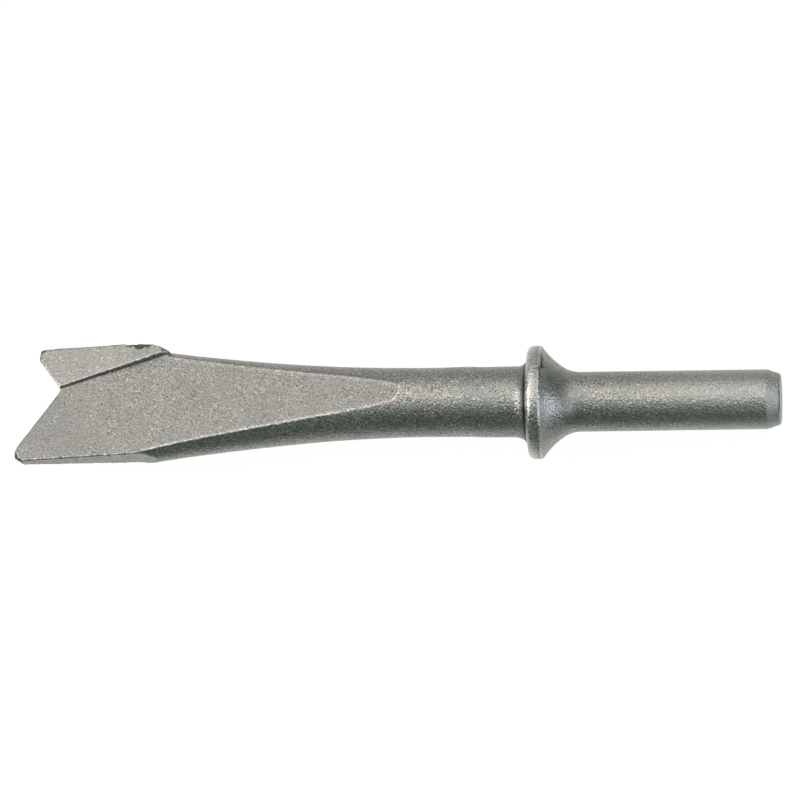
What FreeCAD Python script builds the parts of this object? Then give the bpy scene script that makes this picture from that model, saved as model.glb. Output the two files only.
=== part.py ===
"""Panel-cutter chisel for an air hammer: one steel forging, modelled in millimetres.

The tool axis is X. The origin is the middle of the flat end that the hammer's piston strikes,
so the steel lies at x < 0 and the cutting tip is at about x = -131. +Z is the blade's face, and
+Y is the side of the raised cheek. From the struck end the forging runs: bevel, plain round
shank, concave taper, collar, neck, fishtail with a flat facet on each face, notched blade.
"""
import FreeCAD, Part
import math
import os

import Sketcher

DIMENSIONS = [
    # alias, value, meaning (lengths in mm, angles in degrees, x distances from the struck end)
    ("end_face_radius", 4.3, "flat that the piston strikes"),
    ("bevel_length", 2.3, "bevel between that flat and the shank"),
    ("shank_radius", 5.1, "0.401 in shank, the common air-hammer size"),
    ("taper_start", 34.25, "where the plain shank ends"),
    ("taper_root_radius", 5.0, "arc at the foot of the taper"),
    ("taper_root_turn", 33.0, "how far that arc turns"),
    ("taper_flank_radius", 13.0, "arc of the rest of the taper"),
    ("collar_radius", 9.65, "rim of the collar"),
    ("collar_rear", 43.05, "blade side of the collar"),
    ("collar_rear_lean", 0.1, "how far that side leans over its height"),
    ("collar_front_round", 0.8, "rim's rounding on the taper's side"),
    ("collar_rear_round", 1.05, "rim's rounding on the blade's side"),
    ("neck_fillet", 1.8, "between collar and neck"),
    ("neck_radius", 6.08, "neck beside the collar"),
    ("waist", 60.0, "thinnest section of the neck"),
    ("waist_radius", 5.9, "its radius"),
    ("facet_start", 65.0, "where each flat facet begins"),
    ("facet_start_height", 5.75, "half thickness at that place"),
    ("front_facet_angle", 3.75, "slope of the front facet towards the tip"),
    ("back_facet_angle", 4.55, "slope of the back facet"),
    ("facet_start_skew", 6.6, "how far the facet tool's end line slants over its half width"),
    ("facet_half_width", 20.0, "facet tool's half width, wider than the blade"),
    ("plain_side_start", 108.8, "where the plain prong's straight side begins"),
    ("plain_half_width", 9.25, "axis to that side, there"),
    ("plain_side_angle", 1.9, "how much that side opens towards the tip"),
    ("cheek_side_start", 108.3, "where the cheek prong's straight side begins"),
    ("cheek_half_width", 10.2, "axis to that side, there"),
    ("cheek_side_angle", -1.1, "how much that side opens, so it closes a little"),
    ("side_runout_length", 3.4, "length of the ramp that ends each straight side"),
    ("side_runout_rise", 0.65, "how far that ramp moves out"),
    ("stock_reach", 135.0, "forged length before the tip is cut"),
    ("stock_half_width", 18.0, "wider than the forged fishtail"),
    ("tool_reach", 10.0, "how far the cutting tools pass the end of that stock"),
    ("step_apex_y", 2.9, "foot of the cheek's step on the middle plane, at the notch"),
    ("step_far_x", 104.1, "cheek's far end, where its step meets its outer edge"),
    ("step_far_y", 8.6, "foot of the cheek's step, at that end"),
    ("step_lean", 1.5, "how far the cheek's walls lean to +Y as they rise"),
    ("cheek_shoulder_x", 107.6, "where the cheek's outer edge turns in to that end"),
    ("cheek_shoulder_y", 9.91, "the same place, on the middle plane"),
    ("cheek_height", 4.6, "cheek's face above the middle plane, at its far end"),
    ("cheek_angle", 6.3, "slope of the cheek's face towards the tip"),
    ("cheek_end_height", 3.4, "cheek's face at its very end, where it slopes down to the facet"),
    ("cheek_end_angle", 30.0, "steepness of that slope"),
    ("cheek_spare", 1.0, "padded above the cheek's face, then cut away"),
    ("cheek_tool_y", 0.2, "where the cuts of the cheek's face and end begin"),
    ("cheek_end_overlap", 0.1, "how far the end's cut passes its own far edge"),
    ("notch_depth_x", 123.3, "bottom of the notch"),
    ("notch_low_y", 2.25, "lower corner of the notch's bottom"),
    ("notch_high_y", 3.15, "upper corner of the notch's bottom"),
    ("notch_relief", 12.0, "lean of the notch and tip faces, away from the front face"),
    ("relief_height", 1.9, "height at which the tip's outline is given"),
    ("plain_tip_x", 131.2, "point of the plain prong, beside the notch"),
    ("plain_tip_y", -8.15, "the same point"),
    ("plain_end_x", 131.15, "other end of that prong's short end face"),
    ("plain_end_y", -9.4, "the same place"),
    ("plain_corner_x", 130.2, "bevelled corner of that prong, on its side"),
    ("plain_corner_y", -9.95, "the same corner"),
    ("cheek_tip_x", 126.8, "point of the cheek's prong, beside the notch"),
    ("cheek_tip_y", 8.0, "the same point"),
    ("cheek_end_x", 126.6, "other end of that prong's short end face"),
    ("cheek_end_y", 9.5, "the same place"),
    ("cheek_corner_x", 126.1, "bevelled corner of that prong, on its side"),
    ("cheek_corner_y", 9.95, "the same corner"),
]

# The fishtail before it is cut: distance from the struck end, half width along Y, half depth
# along Z. The round waist of the neck comes before the first of them.
FISHTAIL_SECTIONS = [
    (66.0, 5.96, 5.93),
    (72.0, 6.17, 6.0),
    (82.2, 6.86, 6.0),
    (93.3, 8.0, 6.0),
    (102.8, 9.23, 6.0),
    (109.0, 10.25, 6.0),
    (118.0, 12.0, 6.0),
    (135.0, 15.4, 6.0),
]

SMALLEST_CUT = 0.1  # mm3 that every cut must take away
RING_PLACE_SLACK = 0.4  # mm along the axis, when a round edge is looked for
RING_RADIUS_SLACK = 0.05

PLANE_ROLES = {"XY": "XY_Plane", "XZ": "XZ_Plane", "YZ": "YZ_Plane"}

doc = FreeCAD.newDocument("panel_cutter_chisel")


def make_sheet():
    """Spreadsheet with every driving dimension under its own alias."""
    sheet = doc.addObject("Spreadsheet::Sheet", "dims")
    rows = list(DIMENSIONS)
    for number, (place, half_width, half_depth) in enumerate(FISHTAIL_SECTIONS, start=1):
        rows.append((f"section_place_{number}", place, "fishtail section, from the struck end"))
        rows.append((f"section_width_{number}", half_width, "its half width along Y"))
        rows.append((f"section_depth_{number}", half_depth, "its half depth along Z"))
    for row, (alias, value, meaning) in enumerate(rows, start=1):
        sheet.set(f"A{row}", meaning)
        sheet.set(f"B{row}", str(value))
        sheet.setAlias(f"B{row}", alias)
    doc.recompute()
    return sheet


sheet = make_sheet()


def value(expression):
    """Number that an expression on the sheet gives now."""
    result = sheet.evalExpression(expression)
    return float(getattr(result, "Value", result))


def new_sketch(body, name, plane, lift=None, tilt=None):
    """Sketch on one of the body's own origin planes.

    lift maps an offset axis (x, y or z, in the sketch's frame) to an expression, and tilt is an
    expression for a turn about the sketch's own y axis.
    """
    sketch = body.newObject("Sketcher::SketchObject", name)
    role = PLANE_ROLES[plane]
    support = next(item for item in body.Origin.OriginFeatures if item.Role == role)
    sketch.AttachmentSupport = [(support, "")]
    sketch.MapMode = "FlatFace"
    if tilt is not None:
        turn = FreeCAD.Rotation(FreeCAD.Vector(0, 1, 0), value(tilt))
        sketch.AttachmentOffset = FreeCAD.Placement(FreeCAD.Vector(0, 0, 0), turn)
        sketch.setExpression("AttachmentOffset.Rotation.Angle", tilt)
    for axis, expression in (lift or {}).items():
        sketch.setExpression(f"AttachmentOffset.Base.{axis}", expression)
    doc.recompute()
    return sketch


def bind(sketch, kind, geometry, expression):
    """Adds a dimension to a sketch and drives it from the sheet."""
    index = sketch.addConstraint(Sketcher.Constraint(kind, *geometry, value(expression)))
    sketch.setExpression(f"Constraints[{index}]", expression)


def place_point(sketch, geometry, position, across, up):
    """Holds one point of a sketch at expressions across and up; "0" puts it on the axis."""
    for kind, expression, axis in (("DistanceX", across, -2), ("DistanceY", up, -1)):
        if expression == "0":
            sketch.addConstraint(Sketcher.Constraint("PointOnObject", geometry, position, axis))
        else:
            bind(sketch, kind, (-1, 1, geometry, position), expression)


def add_polygon(sketch, corners):
    """Closed outline through the corners, each given by two expressions."""
    points = [FreeCAD.Vector(value(across), value(up), 0) for across, up in corners]
    first = sketch.GeometryCount
    count = len(points)
    for number, start in enumerate(points):
        sketch.addGeometry(Part.LineSegment(start, points[(number + 1) % count]), False)
    for number in range(count):
        here = first + number
        after = first + (number + 1) % count
        sketch.addConstraint(Sketcher.Constraint("Coincident", here, 2, after, 1))
    for number, (across, up) in enumerate(corners):
        place_point(sketch, first + number, 1, across, up)


def cut(body, name, sketch, both_ways=False, toward_normal=False):
    """Pocket through everything on one side of a sketch, or on both, checked by volume."""
    before = body.Shape.Volume
    pocket = body.newObject("PartDesign::Pocket", name)
    pocket.Profile = sketch
    pocket.Type = "ThroughAll"
    pocket.Midplane = both_ways
    pocket.Reversed = toward_normal
    body.Tip = pocket
    doc.recompute()
    if body.Shape.Volume > before - SMALLEST_CUT:
        raise RuntimeError(f"{name} removed nothing")
    return pocket


def edges_where(shape, test):
    """Names of the edges that pass a test."""
    return [f"Edge{number}" for number, edge in enumerate(shape.Edges, start=1) if test(edge)]


def is_ring(edge, distance, radius):
    """True for a full circle about the tool axis at a distance from the struck end."""
    if not isinstance(edge.Curve, Part.Circle):
        return False
    at_place = abs(edge.Curve.Center.x + distance) < RING_PLACE_SLACK
    return at_place and abs(edge.Curve.Radius - radius) < RING_RADIUS_SLACK


def add_fillet(body, name, edge_names, expression):
    """Fillet on named edges of the body's tip."""
    if not edge_names:
        raise RuntimeError(f"{name} found no edge")
    base = body.Tip
    fillet = body.newObject("PartDesign::Fillet", name)
    fillet.Base = (base, edge_names)
    fillet.Radius = value(expression)
    fillet.setExpression("Radius", expression)
    body.Tip = fillet
    doc.recompute()
    return fillet


def taper_arc(centre, radius, low_turn, high_turn):
    """Arc of the taper: turns are measured from the shank's direction."""
    circle = Part.Circle(centre, FreeCAD.Vector(0, 0, 1), radius)
    foot = 1.5 * math.pi
    return Part.ArcOfCircle(circle, foot - high_turn, foot - low_turn)


def turned_outline(body):
    """Half outline of everything round: end, bevel, shank, taper, collar and neck."""
    sketch = new_sketch(body, "turned_outline", "XY")
    shank, rim = value("dims.shank_radius"), value("dims.collar_radius")
    start = -value("dims.taper_start")
    root, flank = value("dims.taper_root_radius"), value("dims.taper_flank_radius")
    turn = math.radians(value("dims.taper_root_turn"))
    inward = FreeCAD.Vector(math.sin(turn), math.cos(turn), 0)
    root_centre = FreeCAD.Vector(start, shank + root, 0)
    junction = root_centre - inward * root
    flank_centre = junction + inward * flank
    last_turn = math.acos((flank_centre.y - rim) / flank)
    taper_top = FreeCAD.Vector(flank_centre.x - flank * math.sin(last_turn), rim, 0)
    rear = -value("dims.collar_rear")
    lean = value("dims.collar_rear_lean")
    waist = -value("dims.waist")
    origin = FreeCAD.Vector(0, 0, 0)
    face_edge = FreeCAD.Vector(0, value("dims.end_face_radius"), 0)
    bevel_top = FreeCAD.Vector(-value("dims.bevel_length"), shank, 0)
    shank_end = FreeCAD.Vector(start, shank, 0)
    rim_rear = FreeCAD.Vector(rear, rim, 0)
    neck_top = FreeCAD.Vector(rear - lean, value("dims.neck_radius"), 0)
    waist_top = FreeCAD.Vector(waist, value("dims.waist_radius"), 0)
    waist_axis = FreeCAD.Vector(waist, 0, 0)
    end_face, bevel, shank_line, root_arc, flank_arc = range(5)
    rim_line, rear_line, neck_line, waist_line, axis = range(5, 10)
    for piece in (
        Part.LineSegment(origin, face_edge),
        Part.LineSegment(face_edge, bevel_top),
        Part.LineSegment(bevel_top, shank_end),
        taper_arc(root_centre, root, 0, turn),
        taper_arc(flank_centre, flank, turn, last_turn),
        Part.LineSegment(taper_top, rim_rear),
        Part.LineSegment(rim_rear, neck_top),
        Part.LineSegment(neck_top, waist_top),
        Part.LineSegment(waist_top, waist_axis),
        Part.LineSegment(waist_axis, origin),
    ):
        sketch.addGeometry(piece, False)
    for first, first_end, second, second_end in (
        (end_face, 2, bevel, 1),
        (bevel, 2, shank_line, 1),
        (flank_arc, 1, rim_line, 1),
        (rim_line, 2, rear_line, 1),
        (rear_line, 2, neck_line, 1),
        (neck_line, 2, waist_line, 1),
        (waist_line, 2, axis, 1),
        (axis, 2, end_face, 1),
    ):
        sketch.addConstraint(
            Sketcher.Constraint("Coincident", first, first_end, second, second_end)
        )
    sketch.addConstraint(Sketcher.Constraint("Tangent", shank_line, 2, root_arc, 2))
    sketch.addConstraint(Sketcher.Constraint("Tangent", root_arc, 1, flank_arc, 2))
    sketch.addConstraint(Sketcher.Constraint("Coincident", end_face, 1, -1, 1))
    place_point(sketch, end_face, 2, "0", "dims.end_face_radius")
    place_point(sketch, bevel, 2, "-dims.bevel_length", "dims.shank_radius")
    place_point(sketch, shank_line, 2, "-dims.taper_start", "dims.shank_radius")
    bind(sketch, "Radius", (root_arc,), "dims.taper_root_radius")
    bind(sketch, "Radius", (flank_arc,), "dims.taper_flank_radius")
    bind(
        sketch,
        "DistanceX",
        (-1, 1, root_arc, 1),
        "-dims.taper_start - dims.taper_root_radius * sin(dims.taper_root_turn)",
    )
    place_point(sketch, rim_line, 2, "-dims.collar_rear", "dims.collar_radius")
    bind(sketch, "DistanceY", (-1, 1, flank_arc, 1), "dims.collar_radius")
    place_point(sketch, rear_line, 2, "-dims.collar_rear - dims.collar_rear_lean", "dims.neck_radius")
    place_point(sketch, neck_line, 2, "-dims.waist", "dims.waist_radius")
    place_point(sketch, waist_line, 2, "-dims.waist", "0")
    return sketch, taper_top


def add_turned_end(body):
    """Shank, taper, collar and neck, revolved about the tool axis and rounded at the rim."""
    sketch, taper_top = turned_outline(body)
    turned = body.newObject("PartDesign::Revolution", "turned_end")
    turned.Profile = sketch
    turned.ReferenceAxis = (sketch, ["H_Axis"])
    turned.Angle = 360.0
    body.Tip = turned
    doc.recompute()
    rim = value("dims.collar_radius")
    rear = value("dims.collar_rear")
    foot = rear + value("dims.collar_rear_lean")
    for name, distance, radius, size in (
        ("rim_front_round", -taper_top.x, rim, "dims.collar_front_round"),
        ("rim_rear_round", rear, rim, "dims.collar_rear_round"),
        ("neck_fillet", foot, value("dims.neck_radius"), "dims.neck_fillet"),
    ):
        names = edges_where(body.Shape, lambda edge: is_ring(edge, distance, radius))
        add_fillet(body, name, names, size)


def fishtail_section(body, number):
    """Ellipse across the tool axis, wider along Y."""
    place = f"-dims.section_place_{number}"
    sketch = new_sketch(body, f"fishtail_section_{number}", "YZ", lift={"z": place})
    half_width = value(f"dims.section_width_{number}")
    half_depth = value(f"dims.section_depth_{number}")
    middle = FreeCAD.Vector(0, 0, 0)
    wide = FreeCAD.Vector(half_width, 0, 0)
    deep = FreeCAD.Vector(0, half_depth, 0)
    sketch.addGeometry(Part.Ellipse(wide, deep, middle), False)
    sketch.exposeInternalGeometry(0)
    long_axis, short_axis = 1, 2
    sketch.addConstraint(Sketcher.Constraint("Coincident", 0, 3, -1, 1))
    sketch.addConstraint(Sketcher.Constraint("Horizontal", long_axis))
    bind(sketch, "Distance", (long_axis,), f"2 * dims.section_width_{number}")
    bind(sketch, "Distance", (short_axis,), f"2 * dims.section_depth_{number}")
    return sketch


def add_fishtail(body):
    """Forged fishtail, lofted from the round waist through ever wider ellipses."""
    waist = new_sketch(body, "waist_section", "YZ", lift={"z": "-dims.waist"})
    middle, along_z = FreeCAD.Vector(0, 0, 0), FreeCAD.Vector(0, 0, 1)
    waist.addGeometry(Part.Circle(middle, along_z, value("dims.waist_radius")), False)
    waist.addConstraint(Sketcher.Constraint("Coincident", 0, 3, -1, 1))
    bind(waist, "Radius", (0,), "dims.waist_radius")
    numbers = range(1, len(FISHTAIL_SECTIONS) + 1)
    sections = [fishtail_section(body, number) for number in numbers]
    doc.recompute()
    loft = body.newObject("PartDesign::AdditiveLoft", "fishtail")
    loft.Profile = waist
    loft.Sections = sections
    loft.Ruled = False
    loft.Closed = False
    body.Tip = loft
    doc.recompute()


def facet_corners():
    """Outline of one facet cut: a slanted end line, and past the tip on the other side."""
    reach = "dims.facet_start - dims.stock_reach - dims.tool_reach"
    return [
        ("dims.facet_start_skew", "dims.facet_half_width"),
        (reach, "dims.facet_half_width"),
        (reach, "-dims.facet_half_width"),
        ("-dims.facet_start_skew", "-dims.facet_half_width"),
    ]


def add_facets(body):
    """Flat facet on the front and on the back, which make the blade a wedge."""
    front = new_sketch(
        body,
        "front_facet_outline",
        "XY",
        lift={"x": "-dims.facet_start", "z": "dims.facet_start_height"},
        tilt="-dims.front_facet_angle",
    )
    add_polygon(front, facet_corners())
    cut(body, "front_facet", front, toward_normal=True)
    back = new_sketch(
        body,
        "back_facet_outline",
        "XY",
        lift={"x": "-dims.facet_start", "z": "-dims.facet_start_height"},
        tilt="dims.back_facet_angle",
    )
    add_polygon(back, facet_corners())
    cut(body, "back_facet", back)


def add_cheek(body):
    """Raised cheek on the +Y prong: a pad with a sloping face that runs out at its far end."""
    outline = new_sketch(body, "cheek_outline", "XY")
    step_slope = (
        "(dims.step_far_y - dims.step_apex_y) / (dims.notch_depth_x - dims.step_far_x)"
    )
    past_tip = f"dims.step_apex_y - (dims.stock_reach - dims.notch_depth_x) * {step_slope}"
    add_polygon(
        outline,
        [
            ("-dims.step_far_x", "dims.step_far_y"),
            ("-dims.cheek_shoulder_x", "dims.cheek_shoulder_y"),
            ("-dims.stock_reach", f"dims.section_width_{len(FISHTAIL_SECTIONS)}"),
            ("-dims.stock_reach", past_tip),
        ],
    )
    pad = body.newObject("PartDesign::Pad", "cheek")
    pad.Profile = outline
    pad.setExpression("Length", "dims.cheek_height + dims.cheek_spare")
    pad.UseCustomVector = True
    pad.AlongSketchNormal = True
    pad.Direction = FreeCAD.Vector(0, math.tan(math.radians(value("dims.step_lean"))), 1)
    body.Tip = pad
    doc.recompute()
    low, high = "dims.cheek_tool_y", "dims.stock_half_width"
    for name, height, tilt, right, left in (
        ("cheek_face", "cheek_height", "-dims.cheek_angle", high, "-2 * " + high),
        ("cheek_end", "cheek_end_height", "dims.cheek_end_angle", "dims.cheek_end_overlap", "-" + high),
    ):
        face = new_sketch(
            body,
            f"{name}_outline",
            "XY",
            lift={"x": "-dims.step_far_x", "z": f"dims.{height}"},
            tilt=tilt,
        )
        add_polygon(face, [(right, high), (left, high), (left, low), (right, low)])
        cut(body, name, face, toward_normal=True)


def add_blade_sides(body):
    """Straight sides of the blade, each ending in a short ramp out to the forged flank."""
    outline = new_sketch(body, "side_outline", "XY")
    past_tip = "-dims.stock_reach - dims.tool_reach"
    for sign, prong in ((1, "cheek"), (-1, "plain")):
        start, half_width = f"dims.{prong}_side_start", f"dims.{prong}_half_width"
        length = f"(dims.stock_reach + dims.tool_reach - {start})"
        opening = f"{length} * tan(dims.{prong}_side_angle)"
        ramp_x = f"-{start} + dims.side_runout_length"
        add_polygon(
            outline,
            [
                (f"-{start}", f"{sign} * {half_width}"),
                (ramp_x, f"{sign} * ({half_width} + dims.side_runout_rise)"),
                (ramp_x, f"{sign} * dims.stock_half_width"),
                (past_tip, f"{sign} * dims.stock_half_width"),
                (past_tip, f"{sign} * ({half_width} + {opening})"),
            ],
        )
    cut(body, "blade_sides", outline, both_ways=True)


def add_tip(body):
    """Notch and bevelled prong corners, cut along a leaning direction that gives relief."""
    outline = new_sketch(
        body,
        "tip_outline",
        "XY",
        lift={"z": "dims.relief_height"},
        tilt="-dims.notch_relief",
    )
    beyond = "-dims.stock_reach - dims.tool_reach"

    def along(distance):
        return f"-{distance} * cos(dims.notch_relief)"

    def far_out(prong, sign):
        """Where the line of a prong's bevelled corner leaves the stock."""
        end_x, end_y = f"dims.{prong}_end_x", f"dims.{prong}_end_y"
        slope = f"({end_x} - dims.{prong}_corner_x) / ({end_y} - dims.{prong}_corner_y)"
        return f"({end_x} - ({end_y} - {sign} * dims.stock_half_width) * {slope})"

    add_polygon(
        outline,
        [
            (along(far_out("cheek", 1)), "dims.stock_half_width"),
            (along("dims.cheek_end_x"), "dims.cheek_end_y"),
            (along("dims.cheek_tip_x"), "dims.cheek_tip_y"),
            (along("dims.notch_depth_x"), "dims.notch_high_y"),
            (along("dims.notch_depth_x"), "dims.notch_low_y"),
            (along("dims.plain_tip_x"), "dims.plain_tip_y"),
            (along("dims.plain_end_x"), "dims.plain_end_y"),
            (along(far_out("plain", -1)), "-dims.stock_half_width"),
            (beyond, "-dims.stock_half_width"),
            (beyond, "dims.stock_half_width"),
        ],
    )
    cut(body, "tip", outline, both_ways=True)


def check_document():
    """Stops on any failed object, or a body without one valid solid."""
    for item in doc.Objects:
        if "Invalid" in item.State or "Error" in item.State:
            raise RuntimeError(f"{item.Name} failed: {item.State}")
    for item in doc.Objects:
        if item.isDerivedFrom("PartDesign::Body"):
            shape = item.Shape
            if shape.isNull() or not shape.isValid() or len(shape.Solids) != 1:
                raise RuntimeError(f"{item.Label} is not one valid solid")


def build_chisel():
    """The whole forging as one body."""
    body = doc.addObject("PartDesign::Body", "chisel_forging")
    body.Label = "chisel_forging"
    body.Placement = FreeCAD.Placement()
    add_turned_end(body)
    add_fishtail(body)
    add_facets(body)
    add_cheek(body)
    add_blade_sides(body)
    add_tip(body)
    return body


chisel = build_chisel()
doc.recompute()
check_document()
os.makedirs("parts", exist_ok=True)
chisel.Shape.exportStep(f"parts/{chisel.Label}.step")
print(f"{chisel.Label}: volume {chisel.Shape.Volume:.0f} mm3, {len(chisel.Shape.Solids)} solid")
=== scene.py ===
"""Looks of the panel-cutter chisel: one forged, shot-blasted steel bit on a plain pale floor.

The steel is built in millimetres in the CAD model's frame (X along the tool, struck end at x = 0,
tip towards -X, +Z square to the blade's front face) and turned into metres at the end.
"""
import math

import bmesh
import bpy
import numpy as np
from mathutils import Matrix, Vector, noise


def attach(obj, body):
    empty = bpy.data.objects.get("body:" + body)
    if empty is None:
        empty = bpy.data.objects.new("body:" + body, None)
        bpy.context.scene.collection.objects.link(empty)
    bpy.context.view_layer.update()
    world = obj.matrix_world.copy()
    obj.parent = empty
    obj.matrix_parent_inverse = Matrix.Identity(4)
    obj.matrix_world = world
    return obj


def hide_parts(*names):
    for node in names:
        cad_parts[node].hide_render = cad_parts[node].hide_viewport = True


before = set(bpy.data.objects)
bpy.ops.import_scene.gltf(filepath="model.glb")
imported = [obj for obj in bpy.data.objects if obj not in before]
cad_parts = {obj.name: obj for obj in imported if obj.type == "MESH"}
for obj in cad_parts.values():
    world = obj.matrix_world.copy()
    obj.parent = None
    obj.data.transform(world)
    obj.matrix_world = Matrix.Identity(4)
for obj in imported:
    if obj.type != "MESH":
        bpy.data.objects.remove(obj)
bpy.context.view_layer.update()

NODE = "chisel_forging"
MM = 0.001  # metres in a millimetre

# ---------------------------------------------------------------- sizes of the forging, in mm
# A distance is measured from the struck end towards the tip, so x is minus the distance.
RING_POINTS = 160
END_FACE_RADIUS = 4.3
END_FACE_RING = 0.25  # a ring this far inside the struck face's edge
END_FACE_ROUND = 0.2
BEVEL_LENGTH = 2.3
BEVEL_ROUND = 1.5
BEVEL_LEAD = 4.0  # straight shank drawn after the bevel, for its rounding to end on
SHANK_RADIUS = 5.1
TAPER_START = 34.25
TAPER_ROOT_RADIUS = 5.0
TAPER_ROOT_TURN = math.radians(33)
TAPER_FLANK_RADIUS = 13.0
COLLAR_RADIUS = 9.65
COLLAR_FRONT_ROUND = 0.35
COLLAR_REAR = 43.05
COLLAR_REAR_LEAN = 0.1
COLLAR_REAR_ROUND = 1.05
NECK_FILLET = 1.8
FACE_FILLET = 2.6  # the same fillet on the forging's front and back, where it is fuller
NECK_RADIUS = 6.08
NECK_END = 54.0
NECK_THINNING = 0.1  # radius lost from the collar to there
WAIST = 60.0
STOCK_REACH = 135.0
WIDE = 18.0  # wider than anything in the blade
RING_STEP = 0.75  # between the fishtail's rings

# Fishtail before it is cut: distance from the struck end, half width, half depth.
FISHTAIL = [
    (60.0, 5.9, 5.9),
    (66.0, 5.96, 5.93),
    (72.0, 6.17, 6.0),
    (82.2, 6.86, 6.0),
    (93.3, 8.0, 6.0),
    (102.8, 9.23, 6.0),
    (109.0, 10.25, 6.0),
    (118.0, 12.0, 6.0),
    (135.0, 15.4, 6.0),
]

FACET_START = 65.0
FACET_HEIGHT = 5.75
FACET_ANGLE = math.radians(3.75)
BACK_FACET_ANGLE = math.radians(4.55)
FACET_SKEW = 6.6  # slant of the facet's start: x gained from the middle out to WIDE

STEP_APEX = (123.3, 2.9)  # foot of the step on the middle plane: distance and y
STEP_END = (104.1, 8.6)
STEP_LEAN = math.radians(1.5)
CHEEK_SHOULDER = (107.6, 9.91)
CHEEK_SPARE = 1.0  # height added before the cheek's face is cut
CHEEK_HEIGHT = 4.6
CHEEK_ANGLE = math.radians(6.3)
CHEEK_END_HEIGHT = 3.4
CHEEK_END_ANGLE = math.radians(30)

# Straight sides: which side, where it starts, half width there, how much it opens.
SIDES = ((1, 108.3, 10.2, math.radians(-1.1)), (-1, 108.8, 9.25, math.radians(1.9)))
SIDE_RUNOUT = (3.4, 0.65)  # length and rise of the ramp before each side

NOTCH_RELIEF = math.radians(12)
RELIEF_HEIGHT = 1.9
# Tip's outline at that height, from the cheek's side round the notch: distance and y.
TIP_OUTLINE = [
    (126.1, 9.95),
    (126.6, 9.5),
    (126.8, 8.0),
    (123.3, 3.15),
    (123.3, 2.25),
    (131.2, -8.15),
    (131.2, -9.15),
    (129.9, -9.95),
]

VOXEL = 0.18


# ---------------------------------------------------------------- outline of the round end
def rounded(corners, steps=7):
    """Points along a line through (x, r, rounding) corners, each corner turned into an arc."""
    points = []
    for number, (x, r, rounding) in enumerate(corners):
        here = np.array([x, r])
        if rounding == 0 or number in (0, len(corners) - 1):
            points.append(here)
            continue
        back = np.array(corners[number - 1][:2]) - here
        ahead = np.array(corners[number + 1][:2]) - here
        back /= np.linalg.norm(back)
        ahead /= np.linalg.norm(ahead)
        half_angle = 0.5 * math.acos(float(np.clip(back @ ahead, -1, 1)))
        reach = rounding / math.tan(half_angle)
        inward = (back + ahead) / np.linalg.norm(back + ahead)
        middle = here + inward * rounding / math.sin(half_angle)
        first = here + back * reach - middle
        last = here + ahead * reach - middle
        for share in np.linspace(0, 1, steps):
            ray = first * (1 - share) + last * share
            points.append(middle + ray / np.linalg.norm(ray) * rounding)
    return points


def taper_points():
    """The concave taper from shank to collar: two arcs that meet in line."""
    turn = TAPER_ROOT_TURN
    root_x, root_r = -TAPER_START, SHANK_RADIUS + TAPER_ROOT_RADIUS
    points = [
        (root_x - TAPER_ROOT_RADIUS * math.sin(a), root_r - TAPER_ROOT_RADIUS * math.cos(a))
        for a in np.linspace(0, turn, 10)
    ]
    flank_x = points[-1][0] + TAPER_FLANK_RADIUS * math.sin(turn)
    flank_r = points[-1][1] + TAPER_FLANK_RADIUS * math.cos(turn)
    last_turn = math.acos((flank_r - COLLAR_RADIUS) / TAPER_FLANK_RADIUS)
    points += [
        (flank_x - TAPER_FLANK_RADIUS * math.sin(a), flank_r - TAPER_FLANK_RADIUS * math.cos(a))
        for a in np.linspace(turn, last_turn, 14)[1:]
    ]
    return points


def turned_outline():
    """(x, radius) from the struck end's edge to the waist."""
    taper = taper_points()
    shank = [
        (0.0, END_FACE_RADIUS - END_FACE_RING, 0),
        (0.0, END_FACE_RADIUS, END_FACE_ROUND),
        (-BEVEL_LENGTH, SHANK_RADIUS, BEVEL_ROUND),
        (-BEVEL_LENGTH - BEVEL_LEAD, SHANK_RADIUS, 0),
    ]
    collar = [
        (*taper[-2], 0),
        (*taper[-1], COLLAR_FRONT_ROUND),
        (-COLLAR_REAR, COLLAR_RADIUS, COLLAR_REAR_ROUND),
        (-COLLAR_REAR - COLLAR_REAR_LEAN, NECK_RADIUS, NECK_FILLET),
        (-NECK_END, NECK_RADIUS - NECK_THINNING, 0),
    ]
    return rounded(shank) + [np.array(p) for p in taper[:-2]] + rounded(collar)


def fishtail_rings():
    """(x, half width, half depth) along the fishtail, on smooth curves through its sections."""
    places, widths, depths = (np.array(column) for column in zip(*FISHTAIL))
    stations = np.arange(WAIST, STOCK_REACH + RING_STEP / 2, RING_STEP)

    def smooth(values):
        """Values at the stations, on a curve that starts level and bends evenly."""
        slopes = np.gradient(values, places)
        slopes[0] = 0
        after = np.clip(np.searchsorted(places, stations, side="right"), 1, len(places) - 1)
        low = after - 1
        span = places[after] - places[low]
        t = (stations - places[low]) / span
        rise = values[low] * (1 + 2 * t) * (1 - t) ** 2 + values[after] * t * t * (3 - 2 * t)
        lean = slopes[low] * t * (1 - t) ** 2 - slopes[after] * t * t * (1 - t)
        return rise + lean * span

    return list(zip(-stations, smooth(widths), smooth(depths)))


# ---------------------------------------------------------------- meshes
def new_object(name, mesh):
    """Object of that mesh, linked to the scene."""
    piece = bpy.data.objects.new(name, mesh)
    bpy.context.scene.collection.objects.link(piece)
    return piece


def finished(name, mesh):
    """Named mesh from a bmesh, which is used up."""
    data = bpy.data.meshes.new(name)
    mesh.to_mesh(data)
    mesh.free()
    return data


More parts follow.
